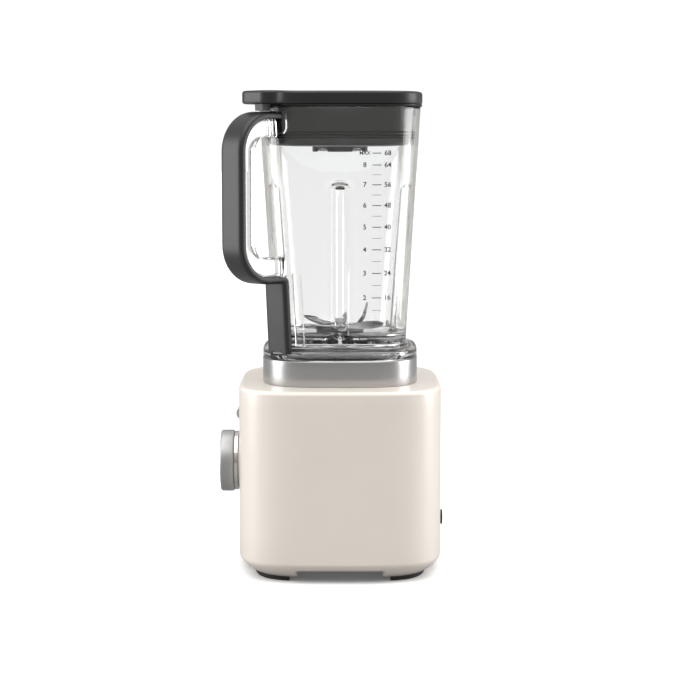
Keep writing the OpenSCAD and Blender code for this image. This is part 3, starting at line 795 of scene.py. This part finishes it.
def gripPath():  # centre line of the black strip, and which way its outside faces
    h = handle
    depth = h["thick"] / 2
    r = h["bend"] - depth
    inX, upZ, downZ = h["reach"] - h["bend"], h["top"] - h["bend"], h["low"] + h["bend"]
    path = [((h["armStart"] + (inX - h["armStart"]) * i / 4, h["top"] - depth), (0, 1)) for i in range(4)]
    for i in range(h["bendSteps"] + 1):
        a = radians(90 - 90 * i / h["bendSteps"])
        path.append(((inX + r * cos(a), upZ + r * sin(a)), (cos(a), sin(a))))
    for i in range(1, 8):
        path.append(((h["reach"] - depth, upZ + (downZ - upZ) * i / 8), (1, 0)))
    for i in range(h["bendSteps"] + 1):
        a = radians(-90 * i / h["bendSteps"])
        path.append(((inX + r * cos(a), downZ + r * sin(a)), (cos(a), sin(a))))
    turnX, turnZ, turnR = h["stemReach"] + h["stemBend"], h["low"] - h["stemBend"], h["stemBend"] + depth
    for i in range(1, 4):
        path.append(((inX + (turnX - inX) * i / 4, h["low"] + depth), (0, -1)))
    for i in range(9):
        a = radians(90 + 90 * i / 8)
        path.append(((turnX + turnR * cos(a), turnZ + turnR * sin(a)), (-cos(a), -sin(a))))
    for i in range(1, 13):
        z = turnZ + (h["stemLow"] - turnZ) * i / 12
        path.append(((h["stemReach"] - depth - stemLean(z), z), (1, 0)))
    return path


def corePath():  # centre line of the clear core, from the jar and back to it
    h = handle
    depth = h["thick"] + 0.15 + h["coreThick"] / 2
    r = h["bend"] - depth
    inX, upZ, downZ = h["reach"] - h["bend"], h["top"] - h["bend"], h["low"] + h["bend"]
    path = [((90, h["top"] - depth), (0, 1))]
    for i in range(h["bendSteps"] + 1):
        a = radians(90 - 90 * i / h["bendSteps"])
        path.append(((inX + r * cos(a), upZ + r * sin(a)), (cos(a), sin(a))))
    for i in range(1, 8):
        path.append(((h["reach"] - depth, upZ + (downZ - upZ) * i / 8), (1, 0)))
    for i in range(h["bendSteps"] + 1):
        a = radians(-90 * i / h["bendSteps"])
        path.append(((inX + r * cos(a), downZ + r * sin(a)), (cos(a), sin(a))))
    return path + [((88, h["low"] + depth), (0, -1))]


def roundedSection(thick, width, edge, steps=5):
    section = []
    u, v = thick / 2 - edge, width / 2 - edge
    for centreU, centreV, start in ((u, v, 0), (-u, v, 90), (-u, -v, 180), (u, -v, 270)):
        section += arc(centreU, centreV, edge, start, start + 90, steps)
    return section


def sweep(section, path):  # the section at every station of a path in the handle's plane
    rings = []
    for (out, z), (nOut, nZ) in path:
        rings.append([overCorner(out + nOut * u, v, z + nZ * u) for u, v in section])
    return rings


def againstJar(section, z, away, up):  # a last ring whose every point stops just short of the jar
    return [overCorner(cornerSurface(z + up * u, v) + away, v, z + up * u) for u, v in section]


def flange(bm, low, high, inside, outside, thick, corner):  # clear strip lying on the jar's corner
    rings = []
    for i in range(25):
        z = low + (high - low) * i / 24
        near = max(0, corner - (z - low)) / corner
        reach = outside - corner * (1 - sqrt(1 - near * near))
        across = [inside + (reach - inside) * j / 8 for j in range(9)]
        ring = [(cornerSurface(z, v) + 0.25, v) for v in across]
        ring += [(cornerSurface(z, v) + 0.25 + thick, v) for v in reversed(across)]
        rings.append([overCorner(u, v, z) for u, v in ring])
    loft(bm, rings, "capped")


def makeHandle():
    h = handle
    section = stripSection(h["thick"], h["width"], h["crown"])
    bm = bmesh.new()
    rings = sweep(section, gripPath())
    rings[0] = againstJar(section, h["top"] - h["thick"] / 2, 2.4, 1)
    loft(bm, rings[:1] + rings[2:], "capped")
    finishPiece(bm, "handleGrip", finish("blackGrip"), "jar", ["handle_grip"], 40)

    section = roundedSection(h["coreThick"], h["coreWidth"], h["coreEdge"])
    bm = bmesh.new()
    path = corePath()
    first, last = path[0][0][1], path[-1][0][1]
    ends = againstJar(section, first, 2.4, 1), againstJar(section, last, 0.3, -1)
    loft(bm, [ends[0]] + sweep(section, path) + [ends[1]], "capped")
    flange(bm, 378.5, h["top"] + 0.2, -15.5, 15.5, 1.9, 9)
    for side in (-1, 1):  # strips that carry the stem on the jar's corner
        flange(bm, 199, 262, side * 13.8, side * 19.5, 1.8, 2)
    finishPiece(bm, "handleCore", clearJar(), "jar", [], 50)


makeHandle()
print("handle done")


# ---- lid
lid = {
    "square": 4.2,
    "half": 71.5, "deep": 12.5, "topEdge": 2.4, "lowEdge": 0.7,
    "tabReach": 104, "tabHalf": 20, "tabRound": 12, "tabThick": 11.2, "tabBlend": 12,
    "spout": 5.0, "spoutAngle": 45, "spoutSpread": 26,
    "capHole": 25, "plugHalf": 64, "plugRound": 9, "legs": 3.2,
}


lidAngles = [225 - 30 + 0.25 * i for i in range(240)] + [255 + 1.5 * i for i in range(200)]


def lidOutline(inset, tab, spout):
    ring = []
    half, blend = lid["half"] - inset, lid["tabBlend"]
    tabHalf, tabRound = lid["tabHalf"] - inset, lid["tabRound"] - min(inset, 6)
    for degrees in lidAngles:
        a = radians(degrees)
        plate = reachAt(a, half, half, lid["square"])
        if spout:
            off = abs((a - radians(lid["spoutAngle"]) + pi) % (2 * pi) - pi) / radians(lid["spoutSpread"])
            plate += lid["spout"] * (1 - easeStep(off * 1.6 - 0.5))
        r = plate
        d = (a - radians(225) + pi) % (2 * pi) - pi
        if tab and abs(d) < radians(50):
            low, high = plate - 1, lid["tabReach"] - inset + 1
            for _ in range(18):
                r = (low + high) / 2
                outX = abs(r * cos(d) - 40) - (lid["tabReach"] - inset - 40) + tabRound
                outY = abs(r * sin(d)) - tabHalf + tabRound
                box = min(max(outX, outY), 0) + sqrt(max(outX, 0) ** 2 + max(outY, 0) ** 2) - tabRound
                gap = r - plate
                near = max(blend - abs(box - gap), 0) / blend
                inside = min(box, gap) - near * near * blend / 4 < 0  # the two outlines flow together
                low, high = (r, high) if inside else (low, r)
        ring.append(Vector((r * cos(a), r * sin(a), 0)) * mm)
    return ring


def makeLid():
    low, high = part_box("lid_cover")
    z1 = high[2] / mm
    z0 = z1 - lid["deep"]
    zTab = z1 - lid["tabThick"]
    edge = lid["topEdge"]
    circle = [Vector((cos(radians(a)), sin(radians(a)), 0)) * mm for a in lidAngles]

    def lidRound(r, z):
        return [Vector((p.x * r, p.y * r, z * mm)) for p in circle]

    def outline(inset, z, tab=True, spout=True):
        return atHeight(lidOutline(inset, tab, spout), z * mm)

    lip, hole = lid["lowEdge"], lid["capHole"]
    rings = [outline(lip, z0, False), outline(0, z0 + lip, False), outline(0, zTab - 0.1, False)]
    rings += [outline(2.0, zTab), outline(0.6, zTab + 0.6), outline(0, zTab + 2)]
    rings += [outline(-inset, z) for inset, z in arc(-edge, z1 - edge, edge, 0, 90, 7)]
    rings.append(outline(edge + 3, z1))
    inner, rim = outline(edge + 6, z1, False, False), lidRound(hole + 4, z1)
    rings += [blendRings(inner, rim, 0.25), blendRings(inner, rim, 0.7)]
    rings += [lidRound(hole + 3, z1), lidRound(hole + 0.6, z1), lidRound(hole, z1 - 0.6)]
    rings += [lidRound(hole, z1 - 3.2), lidRound(21.7, z1 - 3.2), lidRound(21.7, z0)]
    rings.append(blendRings(lidRound(30, z0), outline(10, z0, False, False), 0.5))
    bm = bmesh.new()
    loft(bm, rings, "joined")
    rib = [(87.5, z0 - 4.3), (96.5, z0 - 4.3), (97, zTab + 0.5), (87, zTab + 0.5)]
    rings = [[overCorner(u, v, z) for u, z in rib] for v in (-4.6, 4.6)]
    loft(bm, rings, "capped")
    finishPiece(bm, "lidCover", finish("blackLid"), "lid", ["lid_cover"], 35)

    low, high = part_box("lid_insert")
    z0, z1 = low[2] / mm + 2.5, high[2] / mm - 0.05
    half, r = lid["plugHalf"], lid["plugRound"]

    def plug(inset, z):
        return outline(lid["half"] - half + inset, z, False, False)

    rings = [plug(0, z1), plug(0, z0 + 9)]
    rings += [plug(r - a, b) for a, b in arc(0, z0 + r * 0.9, r, 0, -90, 8) if b >= z0]
    base = plug(r, z0)

    def tubeEnd(radius, z):  # four windows in the tube's end, between its legs
        ring = lidRound(radius, z)
        for p, degrees in zip(ring, lidAngles):
            off = abs((degrees + 45) % 90 - 45)
            p.z -= lid["legs"] * mm * (1 - easeStep((off - 26) / 2))
        return ring

    rings += [blendRings(base, lidRound(24.5, z0), 0.5), lidRound(24.5, z0)]
    rings += [tubeEnd(24.5, z0 - 1), tubeEnd(24.1, z0 - 1.4), tubeEnd(22.2, z0 - 1.4), tubeEnd(21.8, z0 - 1)]
    rings += [lidRound(21.8, z0 + 1), lidRound(21.8, z1)]
    bm = bmesh.new()
    loft(bm, rings, "joined")
    finishPiece(bm, "lidInsert", finish("blackPlug"), "lid", ["lid_insert"], 35)

    low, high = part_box("lid_gasket")
    half, z0, z1 = high[0] / mm, low[2] / mm, high[2] / mm
    bm = bmesh.new()
    for z in (z0 + 0.5, (z0 + z1) / 2, z1 - 0.5):
        lip = [(63.9, z - 0.8), (half - 0.3, z - 0.5), (half, z), (half - 0.3, z + 0.5), (63.9, z + 0.8)]
        loft(bm, [outline(lid["half"] - u, w, False, False) for u, w in lip], "joined")
    finishPiece(bm, "lidGasket", finish("sealRubber"), "lid", ["lid_gasket"], 35)


makeLid()


def makeCap():
    low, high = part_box("centre_cap")
    z1, z0 = high[2] / mm, low[2] / mm
    body = 21.2
    profile = [(z0, 0), (z0 + 0.1, 8), (z0 + 0.4, 15), (z0 + 0.9, 19.4), (z0 + 1.5, 20.7), (z0 + 2.6, body)]
    profile += [(z1 - 3.2, body), (z1 - 3, body + 0.2), (z1 - 3, 24.2),
                (z1 - 2.6, 24.7), (z1 - 0.5, 24.7), (z1, 24.2), (z1, 19.4), (z1 - 0.6, 18.9), (z0 + 9, 18.6)]
    profile += [(z0 + 6.4, 17.4), (z0 + 5.2, 14), (z0 + 4.9, 8), (z0 + 4.8, 0)]
    bm = bmesh.new()
    lathe(bm, profile, (0, 0, 0), (0, 0, 1), 128)
    plastic = clearPlastic("clearCap", (0.93, 0.94, 0.94), 0.05, 0.8)
    finishPiece(bm, "centreCap", plastic, "cap", ["centre_cap"], 35)


makeCap()
print("lid and cap done")


# ---- blades
# Each wing: turn, then stations of (out, up, width, twist in degrees)
blades = {
    "thick": 1.8, "grind": 3.2, "collarSteps": 144,
    "lower": {"z": 210, "hub": 11, "wings": [
        (12, [(8, 0, 15, 4), (16, 0.2, 15, 14), (28, 0.8, 14.5, 20), (39, 1.4, 11, 20), (44, 1.8, 1, 20)]),
        (192, [(8, 0, 15, 4), (16, 0.2, 15, 14), (28, 0.8, 14.5, 20), (39, 1.4, 11, 20), (44, 1.8, 1, 20)]),
        (100, [(8, 0, 13, 0), (16, -0.2, 12, 8), (26, -0.8, 8, 12), (32, -1.1, 1, 12)]),
        (280, [(8, 0, 13, 0), (16, -0.2, 12, 8), (26, -0.8, 8, 12), (32, -1.1, 1, 12)]),
    ]},
    "upper": {"z": 213, "hub": 10, "wings": [
        (187, [(8, 0, 11, 8), (15, 0.9, 11, 30), (24, 3.8, 8.5, 42), (31, 6, 4.5, 46),
               (34.5, 7.2, 0.8, 46)]),
        (-28, [(8, 0, 11, 0), (15, 0.5, 11, 0), (20, 2.4, 10.5, 0), (23.4, 7, 8.5, 0), (25.6, 12.5, 6, 0),
               (27.2, 17, 3.2, 0), (28.2, 20, 0.8, 0)]),
        (70, [(8, 0, 11, 8), (15, 0.9, 10, 20), (24, 3.8, 8, 30), (31, 6, 4, 34), (34, 7, 0.8, 34)]),
    ]},
}


def makeWing(bm, z, turn, stations):
    rings = []
    for i, (out, up, width, twist) in enumerate(stations):
        before, after = stations[max(0, i - 1)], stations[min(len(stations) - 1, i + 1)]
        along = Vector((after[0] - before[0], 0, after[1] - before[1])).normalized()
        roll = Matrix.Rotation(radians(twist), 3, along)
        side, face = roll @ Vector((0, 1, 0)), roll @ Vector((-along.z, 0, along.x))
        t, edge = blades["thick"] / 2, min(blades["grind"], width * 0.4)
        w = width / 2
        section = [(-w, -t * 0.2), (-w + edge, t), (w - 0.3, t), (w, t - 0.3), (w, -t + 0.3), (w - 0.3, -t),
                   (-w + edge, -t)]
        place = Vector((out, 0, up))
        rings.append([Matrix.Rotation(radians(turn), 3, "Z") @ ((place + side * b + face * c) * mm)
                      + Vector((0, 0, z * mm)) for b, c in section])
    loft(bm, rings, "capped")


def makeBlades():
    for name, node in (("lower", "lower_blades"), ("upper", "upper_blades")):
        row = blades[name]
        bm = bmesh.new()
        t = blades["thick"]
        hub = [(0, 4.05), (0, row["hub"]), (t, row["hub"]), (t, 4.05), (0, 4.05)]
        lathe(bm, hub, (0, 0, row["z"] * mm), (0, 0, 1), 48)
        for turn, stations in row["wings"]:
            makeWing(bm, row["z"] + t / 2, turn, stations)
        finishPiece(bm, name + "Blades", finish("bladeSteel"), "blades", [node], 20)
    bm = bmesh.new()  # ribbed collar between the two rows
    lathe(bm, [(0, 8.2), (0, 12), (0.4, 12.4), (1.4, 12.4), (1.6, 12), (1.6, 8.2), (0, 8.2)],
          (0, 0, 208.1 * mm), (0, 0, 1), blades["collarSteps"])
    for v in bm.verts:
        r = Vector((v.co.x, v.co.y)).length
        if r > 11.5 * mm and round(atan2(v.co.y, v.co.x) / (2 * pi) * blades["collarSteps"]) % 3 == 0:
            v.co.x, v.co.y = v.co.x * 0.945, v.co.y * 0.945
    finishPiece(bm, "bladeCollar", finish("bladeSteel"), "blades", [], 20)


makeBlades()
print("blades done")


# ---- printed scale on the near wall
printing = {
    "tickX": 31.2, "tickLong": 7.6, "tickTall": 0.55, "thick": 0.05,
    "cupX": 21.0, "ounceX": 40.5, "textSize": 5.8, "wordSize": 4.3, "lift": 0.08,
    "zeroMark": 196.8, "cupStep": 23.25, "closing": 0.439, "maxZ": 364.7,
}


def cupHeight(cups):  # the jar widens upwards, so the marks draw together
    return printing["zeroMark"] + printing["cupStep"] * cups - printing["closing"] * cups ** 2


def ontoWall(mesh):
    for v in mesh.vertices:
        half = jarHalf(v.co.z / mm)
        n = jar["square"]
        wall = (half ** n - abs(v.co.x / mm) ** n) ** (1 / n)
        v.co.y = -(wall + printing["lift"] + (printing["thick"] if v.co.y < -1e-6 else 0)) * mm


def makeTicks():
    bm = bmesh.new()
    for half in range(1, 18):
        z = cupHeight(half / 2) if half < 17 else printing["maxZ"]
        whole = half % 2 == 0 or half == 17
        tall = printing["tickTall"] * (1.25 if whole else 0.6)
        cube = bmesh.ops.create_cube(bm, size=1)["verts"]
        bmesh.ops.scale(bm, verts=cube, vec=(printing["tickLong"] * mm, 0.001, tall * mm))
        bmesh.ops.translate(bm, verts=cube, vec=(printing["tickX"] * mm, -0.0005, z * mm))
    long = [e for e in bm.edges if abs(e.verts[0].co.x - e.verts[1].co.x) > 0.002]
    bmesh.ops.subdivide_edges(bm, edges=long, cuts=6, use_grid_fill=True)
    mesh = bpy.data.meshes.new("scaleTicks")
    bm.to_mesh(mesh)
    bm.free()
    ontoWall(mesh)
    placePrint(mesh, "scaleTicks")


def placePrint(mesh, name):
    mesh.materials.append(finish("printInk"))
    piece = bpy.data.objects.new(name, mesh)
    bpy.context.collection.objects.link(piece)
    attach(piece, "jar")


def makeWord(word, x, z, name, size=printing["textSize"]):
    curve = bpy.data.curves.new(name, "FONT")
    curve.body = word
    curve.size = size * mm
    curve.align_x, curve.align_y = "CENTER", "CENTER"
    curve.extrude = 0.0005
    curve.offset = 0.018 * size * mm
    holder = bpy.data.objects.new(name, curve)
    bpy.context.collection.objects.link(holder)
    bpy.context.view_layer.update()
    mesh = bpy.data.meshes.new_from_object(holder.evaluated_get(bpy.context.evaluated_depsgraph_get()))
    bpy.data.objects.remove(holder)
    mesh.transform(Matrix.Rotation(radians(90), 4, "X"))
    mesh.transform(Matrix.Translation((x * mm, 0, z * mm)))
    mesh.name = name
    ontoWall(mesh)
    placePrint(mesh, name)


def makeScale():
    makeTicks()
    for cups in range(1, 9):
        z = cupHeight(cups)
        if cups > 1:
            makeWord(str(cups), printing["cupX"], z, f"cupNumber{cups}")
        makeWord(str(8 * cups), printing["ounceX"], z, f"ounceNumber{8 * cups}")
    makeWord("MAX", printing["cupX"], printing["maxZ"], "maxWord", printing["wordSize"])
    makeWord("68", printing["ounceX"], printing["maxZ"], "ounceNumber68")


makeScale()
print("scale printed")


# ---- carried-over nodes keep their shape and get their finish
carried = {
    "greyMoulding": ["base_plate", "brush_holder_1", "brush_holder_2", "dial_encoder", "toggle_bracket",
                     "cooling_fan", "driven_coupling", "pedestal_frame"],
    "polishedSteel": ["base_screws", "motor_bolts", "upper_bearing", "lower_bearing", "toggle_pin",
                      "rotor_shaft", "dial_spindle", "carrier_bearing", "blade_shaft", "blade_nut"],
    "lamination": ["motor_stator", "rotor_core", "carbon_brush_1", "carbon_brush_2"],
    "windingCopper": ["field_coil_1", "field_coil_2", "commutator"],
    "castAluminium": ["upper_bracket", "lower_bracket"],
    "blackRubber": ["motor_mounts", "slinger", "drive_coupling", "cord_gland"],
    "sealRubber": ["carrier_gasket", "shaft_seal"],
    "stampedBrass": ["brush_springs"],
    "boardGreen": ["control_board"],
    "blackPlug": ["board_capacitors", "toggle_switch", "blade_carrier", "carrier_nut"],
}
for finishName, nodes in carried.items():
    for node in nodes:
        data = frame["nodes"][node].data
        data.materials.clear()
        data.materials.append(finish(finishName))
print("carried-over nodes finished")
